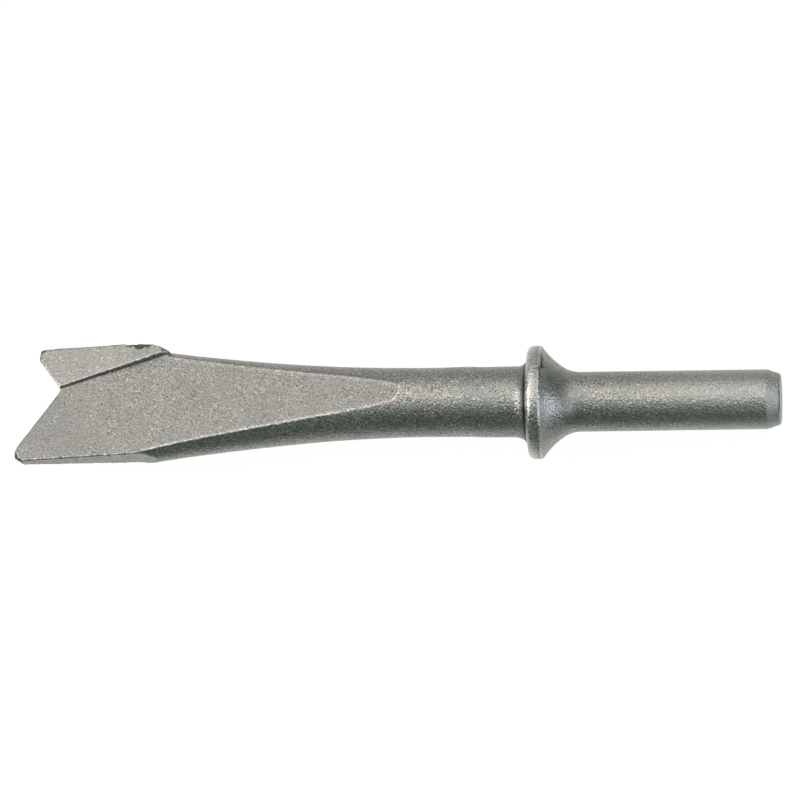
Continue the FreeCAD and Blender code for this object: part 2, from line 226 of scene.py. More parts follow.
def ring_solid(name, rings):
    """Closed solid through elliptical rings (x, half width, half depth)."""
    angles = np.linspace(0, 2 * math.pi, RING_POINTS, endpoint=False)
    mesh = bmesh.new()
    loops = []
    for x, wide, deep in rings:
        loops.append([mesh.verts.new((x, wide * math.cos(a), deep * math.sin(a))) for a in angles])
    for near, far in zip(loops, loops[1:]):
        for number in range(RING_POINTS):
            after = (number + 1) % RING_POINTS
            mesh.faces.new((near[number], near[after], far[after], far[number]))
    mesh.faces.new(list(reversed(loops[0])))
    mesh.faces.new(loops[-1])
    bmesh.ops.recalc_face_normals(mesh, faces=mesh.faces)
    return new_object(name, finished(name, mesh))


def prism(name, corners, low, high, place=Matrix()):
    """Closed prism over a flat outline, from low to high along the outline's own z."""
    mesh = bmesh.new()
    bottom = [mesh.verts.new((x, y, low)) for x, y in corners]
    top = [mesh.verts.new((x, y, high)) for x, y in corners]
    mesh.faces.new(list(reversed(bottom)))
    mesh.faces.new(top)
    for number in range(len(corners)):
        after = (number + 1) % len(corners)
        mesh.faces.new((bottom[number], bottom[after], top[after], top[number]))
    bmesh.ops.recalc_face_normals(mesh, faces=mesh.faces)
    data = finished(name, mesh)
    data.transform(place)
    return new_object(name, data)


def bake_modifiers(piece):
    """Replaces the piece's mesh with its modified one."""
    graph = bpy.context.evaluated_depsgraph_get()
    data = bpy.data.meshes.new_from_object(piece.evaluated_get(graph), depsgraph=graph)
    piece.modifiers.clear()
    old = piece.data
    piece.data = data
    bpy.data.meshes.remove(old)


def combine(piece, tool, operation):
    """Exact boolean of piece and tool, which is used up."""
    step = piece.modifiers.new("combine", "BOOLEAN")
    step.object = tool
    step.operation = operation
    step.solver = "EXACT"
    bake_modifiers(piece)
    used = tool.data
    bpy.data.objects.remove(tool)
    bpy.data.meshes.remove(used)


def sloped(distance, height, slope):
    """Frame of a plane at a distance from the struck end that sinks towards the tip."""
    return Matrix.Translation((-distance, 0, height)) @ Matrix.Rotation(-slope, 4, "Y")


def step_y(distance):
    """Y of the cheek's step at a distance from the struck end."""
    (near, near_y), (far, far_y) = STEP_APEX, STEP_END
    return near_y + (near - distance) * (far_y - near_y) / (near - far)


def cut_facets(piece):
    """Cuts the flat facets of the front and the back, which start on a slant."""
    beyond = FACET_START - STOCK_REACH - 10
    facet = [(FACET_SKEW, WIDE), (beyond, WIDE), (beyond, -WIDE), (-FACET_SKEW, -WIDE)]
    front = sloped(FACET_START, FACET_HEIGHT, FACET_ANGLE)
    back = sloped(FACET_START, -FACET_HEIGHT, -BACK_FACET_ANGLE)
    combine(piece, prism("front_cut", facet, 0, WIDE, front), "DIFFERENCE")
    combine(piece, prism("back_cut", facet, -WIDE, 0, back), "DIFFERENCE")


def add_cheek(piece):
    """Adds the raised cheek, cut by its own steeper face and by the slope at its far end."""
    stock_half = FISHTAIL[-1][1]
    outline = [STEP_END, CHEEK_SHOULDER, (STOCK_REACH, stock_half)]
    outline.append((STOCK_REACH, step_y(STOCK_REACH)))
    outline = [(-distance, y) for distance, y in outline]
    lean = Matrix.Shear("XY", 4, (0, math.tan(STEP_LEAN)))
    cheek = prism("cheek", outline, 0, CHEEK_HEIGHT + CHEEK_SPARE, lean)
    over = [(WIDE, WIDE), (-2 * WIDE, WIDE), (-2 * WIDE, -WIDE), (WIDE, -WIDE)]
    face = sloped(STEP_END[0], CHEEK_HEIGHT, CHEEK_ANGLE)
    end = sloped(STEP_END[0], CHEEK_END_HEIGHT, -CHEEK_END_ANGLE)
    combine(cheek, prism("cheek_face", over, 0, WIDE, face), "DIFFERENCE")
    combine(cheek, prism("cheek_end", over, 0, WIDE, end), "DIFFERENCE")
    combine(piece, cheek, "UNION")


def cut_sides(piece):
    """Cuts the blade's straight sides, each with a ramp before it."""
    beyond = STOCK_REACH + 5
    for side, start, half, angle in SIDES:
        opened = half + (beyond - start) * math.tan(angle)
        ramp_x = -start + SIDE_RUNOUT[0]
        outline = [(-start, half), (ramp_x, half + SIDE_RUNOUT[1]), (ramp_x, WIDE)]
        outline += [(-beyond, WIDE), (-beyond, opened)]
        outline = [(x, side * y) for x, y in outline]
        combine(piece, prism("side_cut", outline, -WIDE, WIDE), "DIFFERENCE")


def outward(near, far):
    """Where the line from far through near reaches the edge of the cut."""
    edge = math.copysign(WIDE, near[1])
    reach = (edge - near[1]) / (near[1] - far[1])
    return near[0] + (near[0] - far[0]) * reach, edge


def cut_tip(piece):
    """Cuts the notch and the prongs' corners, along a direction that leans back."""
    beyond = STOCK_REACH + 12
    rim = [outward(TIP_OUTLINE[0], TIP_OUTLINE[1])] + TIP_OUTLINE[1:-1]
    rim.append(outward(TIP_OUTLINE[-1], TIP_OUTLINE[-2]))
    rim += [(beyond, -WIDE), (beyond, WIDE)]
    outline = [(-distance * math.cos(NOTCH_RELIEF), y) for distance, y in rim]
    lean = sloped(0, RELIEF_HEIGHT, NOTCH_RELIEF)
    combine(piece, prism("tip_cut", outline, -2 * WIDE, 2 * WIDE, lean), "DIFFERENCE")


def remesh(piece, size):
    """Even quads of about that size all over the piece."""
    step = piece.modifiers.new("even", "REMESH")
    step.mode = "VOXEL"
    step.voxel_size = size
    bake_modifiers(piece)


def build_solid():
    """The forging with its true outline, before any wear or unevenness."""
    rings = [(x, r, r) for x, r in turned_outline()]
    piece = ring_solid("forging", rings + fishtail_rings())
    cut_facets(piece)
    add_cheek(piece)
    cut_sides(piece)
    cut_tip(piece)
    return piece


# ---------------------------------------------------------------- surface of the forging
class Skin:
    """The piece's points as arrays, with the neighbour sums that smoothing needs.

    After settle, placed and facing hold the points and normals of that moment, by which all marks
    and masks are laid out, while points goes on changing.
    """

    def __init__(self, piece):
        self.mesh = piece.data
        count = len(self.mesh.vertices)
        flat = np.empty(count * 3)
        self.mesh.vertices.foreach_get("co", flat)
        self.points = flat.reshape(-1, 3)
        ends = np.empty(len(self.mesh.edges) * 2, np.int64)
        self.mesh.edges.foreach_get("vertices", ends)
        self.first, self.second = ends[0::2], ends[1::2]
        self.degree = np.bincount(ends, minlength=count).astype(float)

    def around(self, values):
        """Mean of each point's neighbours."""
        columns = []
        for column in np.atleast_2d(values.T):
            total = np.bincount(self.first, column[self.second], len(self.degree))
            total += np.bincount(self.second, column[self.first], len(self.degree))
            columns.append(total / self.degree)
        return np.array(columns).T.reshape(values.shape)

    def smooth(self, rounds):
        """Evens the points without shrinking the solid."""
        for share in (0.5, -0.53) * rounds:
            self.points += share * (self.around(self.points) - self.points)

    def soften(self, shares, rounds):
        """Rounds edges off where shares is above 0."""
        for _ in range(rounds):
            self.points += 0.5 * shares[:, None] * (self.around(self.points) - self.points)

    def normals(self):
        """Unit normals of the points as they are now."""
        self.store()
        flat = np.empty(len(self.points) * 3)
        self.mesh.vertices.foreach_get("normal", flat)
        return flat.reshape(-1, 3)

    def store(self):
        """Writes the points back to the mesh."""
        self.mesh.vertices.foreach_set("co", self.points.ravel())
        self.mesh.update()

    def settle(self):
        """Keeps the points and normals as they are now, to lay marks and masks out by."""
        self.facing = self.normals()
        self.placed = self.points.copy()

    def push(self, heights):
        """Moves the points outward by those heights in mm."""
        self.points += heights[:, None] * self.facing

    def bulge(self, rounds):
        """Above 0 on convex edges and below 0 in hollows."""
        normals = self.normals()
        bend = np.einsum("ij,ij->i", self.points - self.around(self.points), normals) / VOXEL
        for _ in range(rounds):
            bend = 0.5 * (bend + self.around(bend))
        return bend

    def keep(self, name, values):
        """Stores one number a point for the material."""
        attribute = self.mesh.attributes.new(name, "FLOAT", "POINT")
        attribute.data.foreach_set("value", values.astype(np.float32))


def field(points, size, seed):
    """Smooth noise of about that grain size in mm, from -1 to 1."""
    shift = Vector((seed * 17.3, seed * -9.1, seed * 5.7))
    scale = 1 / size
    return np.array([noise.noise(Vector(p) * scale + shift) for p in points])


def ease(values, low, high):
    """0 below low, 1 above high, smooth between."""
    t = np.clip((values - low) / (high - low), 0, 1)
    return t * t * (3 - 2 * t)


def fade(values, low, high):
    """1 below low, 0 above high, smooth between."""
    return 1 - ease(values, low, high)


def stretch(distances, start, end):
    """1 along a stretch of the tool that fades in over start and out over end."""
    return ease(distances, *start) - ease(distances, *end)


def falloff(gaps, width):
    """1 where the gap is 0, about a third where it is one width, and soon 0."""
    return np.exp(-((gaps / width) ** 2))


def near_path(points, path):
    """Distance from each point to a line through path's points."""
    best = np.full(len(points), np.inf)
    for start, end in zip(path, path[1:]):
        start, end = np.array(start), np.array(end)
        along = end - start
        share = np.clip((points - start) @ along / (along @ along), 0, 1)
        gap = points - start - share[:, None] * along
        best = np.minimum(best, np.sqrt(np.einsum("ij,ij->i", gap, gap)))
    return best


def above_facet(points):
    """Height of each point over the facet on its side of the middle plane."""
    slope = np.where(points[:, 2] > 0, math.tan(FACET_ANGLE), math.tan(BACK_FACET_ANGLE))
    return np.abs(points[:, 2]) - FACET_HEIGHT - (points[:, 0] + FACET_START) * slope


def near_facet_edge(points, inset):
    """Distance to lines a little inside the facets' edges, where they meet the flanks."""
    places, widths, depths = (np.array(column) for column in zip(*FISHTAIL))
    stations = np.linspace(FACET_START + 1, SIDES[1][1], 24)
    wide, deep = np.interp(stations, places, widths), np.interp(stations, places, depths)
    folded = np.column_stack((points[:, 0], np.abs(points[:, 1]), points[:, 2]))
    gaps = []
    for side, angle in ((1, FACET_ANGLE), (-1, BACK_FACET_ANGLE)):
        heights = FACET_HEIGHT - (stations - FACET_START) * math.tan(angle)
        across = wide * np.sqrt(1 - (heights / deep) ** 2) - inset
        gaps.append(near_path(folded, list(zip(-stations, across, side * heights))))
    return np.minimum(*gaps)


# ---------------------------------------------------------------- marks and wear, in mm
# Laps and burrs, sunk and dark: points of a path on the surface, its half width and its depth.
LAPS = (
    (((-40.75, 5.6, 7.1), (-40.5, 4.9, 7.4), (-40.1, 3.9, 7.7), (-40.5, 3.4, 8.2)), 0.38, 0.5),
    (((-40.8, 3.1, 8.8), (-40.5, 2.6, 8.75), (-40.45, 1.9, 8.9)), 0.3, 0.35),
    (((-63.4, -1.35, 5.66), (-62.9, -1.6, 5.62), (-62.7, -1.5, 5.66)), 0.13, 0.15),
    (((-131.1, -7.8, 1.35), (-131.05, -8.6, 1.35), (-130.85, -8.9, 1.35)), 0.38, 0.35),
    (((-131.0, -9.3, 1.3), (-130.4, -9.7, 1.3), (-129.9, -9.85, 1.2)), 0.34, 0.4),
    (((-126.75, 8.3, 2.2), (-126.6, 9.2, 2.2), (-126.0, 9.8, 2.2)), 0.18, 0.1),
)
# Dark lines in colour only: points of a path, its half width and its darkness.
DARK_LINES = (
    (((-0.05, -0.2, 4.25), (-0.05, -1.9, 3.8), (-0.05, -3.2, 2.8)), 0.2, 1.0),
    (((-123.8, 1.8, 1.9), (-131.2, -7.8, 1.36)), 0.18, 0.85),
    (((-123.8, 3.4, 2.4), (-126.8, 7.9, 2.2)), 0.18, 0.75),
)
# Broad dark lap on the cheek's outer edge.
CHEEK_LAP = ((-111.2, 10.3, 3.9), (-110.0, 9.9, 3.95), (-108.2, 9.95, 4.0))
CHEEK_LAP_REACH = 0.75
CHEEK_LAP_DEPTH = 0.25
CHEEK_LAP_DARKNESS = 0.8

# Edges rubbed bright, which stand out a little; the brightening is partly wear and partly painted
# highlight.
FACET_END = ((-64.6, 1.8, 5.75), (-65.0, 0.4, 5.8), (-65.6, -1.3, 5.75))
FACET_END_WIDTH = 0.2
FACET_END_HEIGHT = 0.1
SIDE_EDGE = ((-109.5, -9.17, 2.83), (-120.0, -9.52, 2.15), (-130.6, -9.82, 1.45))
SIDE_EDGE_WIDTH = 0.16
SIDE_EDGE_SHARE = 0.8
SOFT_EDGE_REACH = (0.5, 1.1)  # gaps from a facet's edge over which its wear comes to an end
SOFT_EDGE_ROUNDS = 22
# The rubbed line is brightened, partly as wear and partly as painted highlight.
EDGE_INSET = 0.15  # rubbed line along a facet's edge, this far inside it
EDGE_WIDTH = 0.3
EDGE_HEIGHT = 0.08
# The rim's front edge gets a bright line, partly polish and partly painted highlight.
RIM_FRONT = 40.8  # the rim's sharp edge on the taper's side
RIM_FRONT_WIDTH = 0.14

# Unevenness of the skin: grain size, height, and the share of it that the round end shows.
UNEVENNESS = ((7.0, 0.035, 0), (2.2, 0.014, 0.35), (0.8, 0.007, 1))
BLADE_RIPPLE = 0.06  # height of the blade's wavy edges
BLADE_NICK = 0.12  # depth of the nicks in them
NECK_SHIFT = 0.17  # neck and blade sit this much off the shank's line
NECK_SHIFT_RUN = 3.0  # and get there over this length behind the collar
NECK_BOW = 0.1  # and the thin part of the neck this much more

# Distances over which one part of the tool turns into the next.
# Painted highlight: the shank paler near the struck end.
HIGHLIT_SHANK_END = (8, 30)  # the shank's paler end into the rest of it
FORGED = (44, 52)  # the smooth round end into rougher forging
BLADE = (92, 104)  # the neck into the blade with its ragged edges
EVEN_TIP = (112, 124)  # the blade into the calmer grain near the tip
# Near the tip the edges get neither wear nor painted highlight.
UNBRIGHTENED_TIP = (121, 123)  # the blade into the tip, whose edges aren't rubbed bright

# Stretches of the tool, each with the distances that it fades in over and fades out over.
EVEN_TAPER = ((33, 35), (40.5, 41))  # calmer grain
# The rim brightened, partly wear and partly painted highlight.
RIM_WEAR_AND_HIGHLIGHT = ((40.9, 42.4), (COLLAR_REAR - 0.1, COLLAR_REAR + 0.3))
DIM_NECK = ((COLLAR_REAR, COLLAR_REAR + 0.3), (44.1, 44.6))
BOWED_NECK = ((50, 54), (70, 88))
SOFT_EDGE = ((63, 66), (72, 90))  # the facets' edges worn round

# Painted shade in the crease behind the collar and on the neck next to it (DIM_NECK).
DIM_NECK_DARKNESS = 0.25
CREASE = COLLAR_REAR + 0.42  # middle of the dark line where the collar meets the neck
CREASE_WIDTH = 0.22
CREASE_DARKNESS = 0.8
CREASE_RADII = (8.7, 9.1)  # the darkness ends between these radii, below the rim


def past_step(points):
    """Distance across the cheek's step, positive on the cheek."""
    start = np.array((-STEP_APEX[0], STEP_APEX[1]))
    along = np.array((-STEP_END[0], STEP_END[1])) - start
    along /= np.linalg.norm(along)
    from_start = points[:, :2] - start
    across = from_start[:, 1] * along[0] - from_start[:, 0] * along[1]
    return across - points[:, 2] * math.tan(STEP_LEAN)


def fill_behind_collar(points):
    """Grows the fillet behind the collar on the front and the back, where the dies drew it out."""
    behind = np.clip(-points[:, 0] - COLLAR_REAR, 0, FACE_FILLET)
    radius = np.hypot(points[:, 1], points[:, 2])
    arc = NECK_RADIUS + FACE_FILLET - np.sqrt(FACE_FILLET**2 - (FACE_FILLET - behind) ** 2)
    inside = (points[:, 0] < -COLLAR_REAR) & (points[:, 0] > -COLLAR_REAR - FACE_FILLET)
    grow = np.clip(arc - radius, 0, None) * inside * (points[:, 2] / np.maximum(radius, 1)) ** 2
    points[:, 1:] *= (1 + grow / np.maximum(radius, 1))[:, None]


def soften_facet_edge(skin):
    """Rounds the facets' edges off on the -Y side, where the neck turns into the blade."""
    points = skin.points
    soft = fade(near_facet_edge(points, 0), *SOFT_EDGE_REACH)
    soft *= stretch(-points[:, 0], *SOFT_EDGE) * ease(-points[:, 1], 0, 1)
    skin.soften(soft, SOFT_EDGE_ROUNDS)


def roughen(skin):
    """Adds the forging's unevenness, and waves and nicks in the blade's edges."""
    points = skin.placed
    distances = -points[:, 0]
    forged = ease(distances, *FORGED)
    lift = np.zeros(len(points))
    for seed, (size, height, on_end) in enumerate(UNEVENNESS, 1):
        lift += height * (on_end + (1 - on_end) * forged) * field(points, size, seed)
    nicks = ease(field(points, 0.9, 4), 0.32, 0.6)
    ragged = BLADE_RIPPLE * field(points, 0.5, 8) - BLADE_NICK * nicks
    edge = ease(skin.bulge(1), 0.05, 0.22)
    skin.push(lift + edge * ease(distances, *BLADE) * ragged)


def cut_laps(skin):
    """Sinks the laps, and returns how dark they and the dark lines are at each point."""
    points = skin.placed
    marks = np.zeros(len(points))
    ragged = 1 + 0.5 * field(points, 0.45, 6)
    for path, width, depth in LAPS:
        shape = falloff(near_path(points, path), width * ragged)
        skin.push(-depth * shape)
        marks = np.maximum(marks, shape)
    for path, width, darkness in DARK_LINES:
        marks = np.maximum(marks, darkness * falloff(near_path(points, path), width))
    reach = CHEEK_LAP_REACH + 0.5 * field(points, 0.7, 5)
    lap = fade(near_path(points, CHEEK_LAP), 0.4 * reach, reach)
    skin.push(-CHEEK_LAP_DEPTH * lap)
    return np.maximum(marks, CHEEK_LAP_DARKNESS * lap)


def rub_and_highlight_edges(skin):
    """Raises the rubbed edges of the facets and the side, and returns how bright they are, partly
    as wear and partly as painted highlight.
    """
    points = skin.placed
    end = falloff(near_path(points, FACET_END), FACET_END_WIDTH)
    edge = falloff(near_facet_edge(points, EDGE_INSET), EDGE_WIDTH)
    edge *= 1 - 0.5 * ease(points[:, 1], -0.5, 0.5)
    side = SIDE_EDGE_SHARE * falloff(near_path(points, SIDE_EDGE), SIDE_EDGE_WIDTH)
    edge = np.maximum(edge, side)
    edge *= 0.4 + 0.6 * ease(field(points, 0.45, 7), 0.0, 0.25)
    skin.push(FACET_END_HEIGHT * end + EDGE_HEIGHT * edge)
    return np.maximum(end, edge)


def shift_neck(skin):
    """Sets the neck and the blade off the shank's line, and bows the neck."""
    distances = -skin.placed[:, 0]
    shift = NECK_SHIFT * ease(distances, COLLAR_REAR, COLLAR_REAR + NECK_SHIFT_RUN)
    skin.points[:, 1] += shift + NECK_BOW * stretch(distances, *BOWED_NECK)


def painted_collar_shade(points):
    """Painted shade: darkness of the crease behind the collar and of the neck next to it."""
    distances = -points[:, 0]
    crease = CREASE_DARKNESS * falloff(distances - CREASE, CREASE_WIDTH)
    crease += DIM_NECK_DARKNESS * stretch(distances, *DIM_NECK)
    return crease * fade(np.hypot(points[:, 1], points[:, 2]), *CREASE_RADII)


def step_wall(points):
    """1 on the wall of the cheek's step."""
    wall = fade(np.abs(past_step(points)), 0.2, 0.32) * ease(above_facet(points), 0.14, 0.3)
    return wall * ease(-points[:, 0], STEP_END[0] - 1, STEP_END[0] + 0.5)


def keep_wear(skin, rubbed_and_highlit):
    """Stores the painted shade in hollows, and where the steel is brightened by wear and painted
    highlight.
    """
    points = skin.placed
    distances = -points[:, 0]
    bend = skin.bulge(2)
    wall = step_wall(points)
    # Painted shade: concave places darkened, except on the step's wall.
    skin.keep("hollow_shade", ease(-bend, 0.05, 0.25) * (1 - wall))
    convex = ease(bend, 0.04, 0.2) * fade(distances, *UNBRIGHTENED_TIP)
    rim = stretch(distances, *RIM_WEAR_AND_HIGHLIGHT)
    rim_edge = falloff(distances - RIM_FRONT, RIM_FRONT_WIDTH)
    rim_edge *= ease(np.hypot(points[:, 1], points[:, 2]), 9.2, 9.4)
    # Brightened: convex edges and the rim as wear and painted highlight, the step's wall as
    # painted reflected light.
    skin.keep("wear_and_highlight", np.maximum.reduce([convex, 0.8 * rim, rim_edge, rubbed_and_highlit, 0.75 * wall]))


def keep_zones(skin):
    """Stores the zones with a look of their own: the bevel, with painted light on its -Y side, the
    painted highlight on the shank's end, calm grain, facets.
    """
    points = skin.placed
    distances = -points[:, 0]
    above = above_facet(points)
    past_end = distances - FACET_START + FACET_SKEW * points[:, 1] / WIDE
    facet = fade(np.abs(above), 0.2, 0.35) * ease(past_end, -0.15, 0.15)
    cheek = ease(above, 0.35, 0.5) * ease(distances, STEP_END[0] - 1, STEP_END[0] + 1)
    bevel = fade(distances, BEVEL_LENGTH - 0.15, BEVEL_LENGTH + 0.05)
    # The bevel's own turned finish, made paler on its -Y side as painted light from the lamps at
    # the struck end.
    skin.keep("turned_and_lit", bevel * (0.35 + 0.65 * ease(-points[:, 1], -0.6, 0.6)))
    # Painted highlight: the shank paler towards the struck end.
    skin.keep("shank_end_highlight", (1 - bevel) * fade(distances, *HIGHLIT_SHANK_END))
    tip = 0.7 * ease(distances, *EVEN_TIP)
    taper = 0.8 * stretch(distances, *EVEN_TAPER)
    skin.keep("even", np.maximum.reduce([cheek, tip, taper]))
    skin.keep("pressed", np.maximum(facet, 0.35 * cheek))


def texture_skin(piece):
    """Forging unevenness, worn edges, laps and nicks, and the masks that the material reads,
    painted shade and highlight among them.
    """
    skin = Skin(piece)
    fill_behind_collar(skin.points)
    soften_facet_edge(skin)
    skin.smooth(5)
    skin.settle()
    roughen(skin)
    marks = cut_laps(skin)
    rubbed_and_highlit = rub_and_highlight_edges(skin)
    shift_neck(skin)
    skin.smooth(1)
    # The scale mask holds the dark scale of the laps, the dark lines, and the painted shade in the
    # crease behind the collar.
    skin.keep("scale", np.maximum(marks, painted_collar_shade(skin.placed)))
    keep_wear(skin, rubbed_and_highlit)
    keep_zones(skin)
    skin.store()


# ---------------------------------------------------------------- material
class Nodes:
    """Small helper that adds and links nodes of one tree."""

    def __init__(self, tree):
        self.tree = tree
        tree.nodes.clear()

    def plug(self, socket, value):
        """Links the value to the socket if it comes from a node, and sets it otherwise."""
        if isinstance(value, bpy.types.NodeSocket):
            self.tree.links.new(value, socket)
        else:
            socket.default_value = value

    def add(self, kind, settings=None, **inputs):
        """New node with those settings and inputs, an underscore standing for a space."""
        node = self.tree.nodes.new(kind)
        for key, value in (settings or {}).items():
            setattr(node, key, value)
        for key, value in inputs.items():
            self.plug(node.inputs[key.replace("_", " ")], value)
        return node

    def attribute(self, name):
        """One of the numbers kept on the mesh."""
        return self.add("ShaderNodeAttribute", {"attribute_name": name}).outputs["Fac"]

    def noise(self, place, size, detail=2.0, rough=0.5):
        """Cloudy noise of about that grain size in mm."""
        node = self.add(
            "ShaderNodeTexNoise", Vector=place, Scale=1 / size, Detail=detail, Roughness=rough
        )
        return node.outputs["Fac"]

    def cells(self, place, size, output):
        """Cells of about that size in mm: their Color, or the Distance to their middles."""
        node = self.add("ShaderNodeTexVoronoi", Vector=place, Scale=1 / size)
        return node.outputs[output]

    def map(self, value, low, high, to_low=0.0, to_high=1.0):
        """Value carried from low..high to to_low..to_high, and held at the ends."""
        ends = {"From_Min": low, "From_Max": high, "To_Min": to_low, "To_Max": to_high}
        return self.add("ShaderNodeMapRange", Value=value, **ends).outputs["Result"]

    def math(self, operation, first, second):
        """Result of that operation on two values."""
        node = self.add("ShaderNodeMath", {"operation": operation})
        self.plug(node.inputs[0], first)
        self.plug(node.inputs[1], second)
        return node.outputs[0]

    def mix(self, share, first, second):
        """Colour between first and second, with share 0 for the first."""
        node = self.add("ShaderNodeMix", {"data_type": "RGBA"})
        for number, value in ((0, share), (6, first), (7, second)):
            self.plug(node.inputs[number], value)
        return node.outputs[2]

    def cover(self, colour, share, strength, paint):
        """Colour with that much paint on it, where share is above 0."""
        return self.mix(self.math("MULTIPLY", share, strength), colour, paint)


COOL_STEEL = (0.37, 0.375, 0.36, 1)
WARM_STEEL = (0.45, 0.435, 0.41, 1)
BROWN_STEEL = (0.45, 0.42, 0.40, 1)
PRESSED_STEEL = (0.215, 0.195, 0.18, 1)
# Bright steel of worn edges, also used for painted highlights and the step wall's painted
# reflected light.
WORN_AND_HIGHLIT_STEEL = (0.9, 0.89, 0.86, 1)
# Colour of the painted shade in hollows.
HOLLOW_SHADE = (0.07, 0.075, 0.07, 1)
# Colour of the painted highlight on the shank's struck end.
SHANK_END_HIGHLIGHT_STEEL = (0.62, 0.61, 0.585, 1)
# Pale turned steel of the bevel, also painted light on its -Y side.
TURNED_AND_LIT_STEEL = (0.66, 0.675, 0.68, 1)
DARK_GRAIN = (0.14, 0.145, 0.135, 1)
LIGHT_GRAIN = (0.78, 0.77, 0.74, 1)
PIT = (0.12, 0.12, 0.11, 1)
GLINT = (0.85, 0.84, 0.81, 1)
# Dark scale of the laps and the dark lines, also the colour of the painted shade behind the
# collar.
SCALE = (0.035, 0.037, 0.035, 1)
GRAIN_SIZE = 0.24  # mm, as the sizes below
SPECK_SIZE = 0.4
DIMPLE_SIZE = 0.48
BUMP_GRAIN_SIZE = 0.3
BUMP_DEPTH = 0.065


def grainy_steel(n, place, calm):
    """Colour of plain blasted steel: patches, a light and dark grain, pits and glints."""
    patches = n.noise(place, 8.0, 4.0, 0.6)
    tint = n.noise(place, 3.5, 3.0)
    fine = n.noise(place, GRAIN_SIZE, 1.0, 0.6)
    coarseness = n.math("MULTIPLY", n.map(n.noise(place, 4.0, 2.0), 0.35, 0.6, 0.6, 1.1), calm)
    speck = n.cells(place, SPECK_SIZE, "Color")
    inside = n.math("MULTIPLY", n.map(n.cells(place, SPECK_SIZE, "Distance"), 0.62, 0.3), calm)

    colour = n.mix(n.map(patches, 0.35, 0.65), COOL_STEEL, WARM_STEEL)
    colour = n.mix(n.map(tint, 0.5, 0.7, 0, 0.5), colour, BROWN_STEEL)
    colour = n.mix(n.math("MULTIPLY", n.map(fine, 0.5, 0.25), coarseness), colour, DARK_GRAIN)
    colour = n.mix(n.math("MULTIPLY", n.map(fine, 0.5, 0.76), coarseness), colour, LIGHT_GRAIN)
    pits = n.math("MULTIPLY", n.map(speck, 0.22, 0.1), inside)
    glints = n.math("MULTIPLY", n.map(speck, 0.8, 0.92), inside)
    colour = n.cover(colour, pits, 0.85, PIT)
    return n.cover(colour, glints, 0.85, GLINT)


def steel_material():
    """Shot-blasted forged steel: grey with a fine sparkling grain, dark scale in its laps, and
    painted shade and highlights on it.
    """
    material = bpy.data.materials.new("forged_steel")
    material.use_nodes = True
    n = Nodes(material.node_tree)
    place = n.add("ShaderNodeTexCoord").outputs["Object"]
    place = n.add("ShaderNodeVectorMath", {"operation": "SCALE"}, Vector=place, Scale=1 / MM)
    place = place.outputs["Vector"]
    calm = n.map(n.attribute("even"), 0, 1, 1, 0.6)
    wear_and_highlight = n.attribute("wear_and_highlight")
    turned_and_lit = n.attribute("turned_and_lit")

    colour = grainy_steel(n, place, calm)
    colour = n.cover(colour, n.attribute("pressed"), 0.36, PRESSED_STEEL)
    # Worn edges brightened: partly real wear, partly painted highlight and reflected light.
    rubbed_and_highlit = n.map(n.noise(place, 0.5, 2.0, 0.6), 0.38, 0.58, 0.35, 1.0)
    colour = n.cover(colour, wear_and_highlight, rubbed_and_highlit, WORN_AND_HIGHLIT_STEEL)
    # Painted shade in hollows.
    colour = n.cover(colour, n.attribute("hollow_shade"), 0.3, HOLLOW_SHADE)
    # Painted highlight on the shank's struck end.
    colour = n.cover(colour, n.attribute("shank_end_highlight"), 0.35, SHANK_END_HIGHLIGHT_STEEL)
    # Turned bevel: its own finish, paler on the -Y side as painted light.
    colour = n.cover(colour, turned_and_lit, 0.6, TURNED_AND_LIT_STEEL)
    # Dark scale of the laps, and painted shade in the crease behind the collar.
    colour = n.mix(n.attribute("scale"), colour, SCALE)

    roughness = n.map(n.noise(place, 0.5, 2.0), 0.3, 0.7, 0.32, 0.50)
    roughness = n.math("SUBTRACT", roughness, n.math("MULTIPLY", wear_and_highlight, 0.12))
    roughness = n.math("ADD", roughness, n.math("MULTIPLY", turned_and_lit, 0.14))
    dimples = n.math("MULTIPLY", n.map(n.cells(place, DIMPLE_SIZE, "Distance"), 0.0, 0.6), 0.6)
    height = n.math("ADD", dimples, n.noise(place, BUMP_GRAIN_SIZE, 1.0, 0.6))
    height = n.math("MULTIPLY", height, calm)
    bump = n.add("ShaderNodeBump", Strength=1.0, Distance=BUMP_DEPTH * MM, Height=height)

    look = {"Base_Color": colour, "Roughness": roughness, "Normal": bump.outputs["Normal"]}
    shader = n.add("ShaderNodeBsdfPrincipled", Metallic=1.0, **look)
    n.add("ShaderNodeOutputMaterial", Surface=shader.outputs["BSDF"])
    return material


def build_chisel():
    """The finished piece, in metres, riding on the CAD body."""
    piece = build_solid()
    remesh(piece, VOXEL)
    texture_skin(piece)
    piece.data.transform(Matrix.Scale(MM, 4))
    piece.name = "forged_chisel"
    piece.data.name = "forged_chisel"
    piece.data.materials.clear()
    piece.data.materials.append(steel_material())
    piece.data.polygons.foreach_set("use_smooth", [True] * len(piece.data.polygons))
    piece.data.update()
    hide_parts(NODE)
    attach(piece, "root")


# ---------------------------------------------------------------- stage, light and camera
CAMERA_TILT = math.radians(19)  # camera's lean from the blade's face, towards -Y
CAMERA_YAW = math.radians(4.6)  # and towards the struck end
CAMERA_ROLL = math.radians(0.805)
CAMERA_DISTANCE = 3.0
CAMERA_CLIP = (0.01, 20.0)
VIEW_WIDTH = 136.45 * MM
# Middle of the view from the struck end, in mm to the right, up and towards the camera.
VIEW_RIGHT = -64.87
VIEW_UP = 0.74
VIEW_NEARER = -5.2
SENSOR_WIDTH = 36.0
ROOM_RADIUS = 3.3
TOOL_MIDDLE = Vector((-0.065, 0, 0))

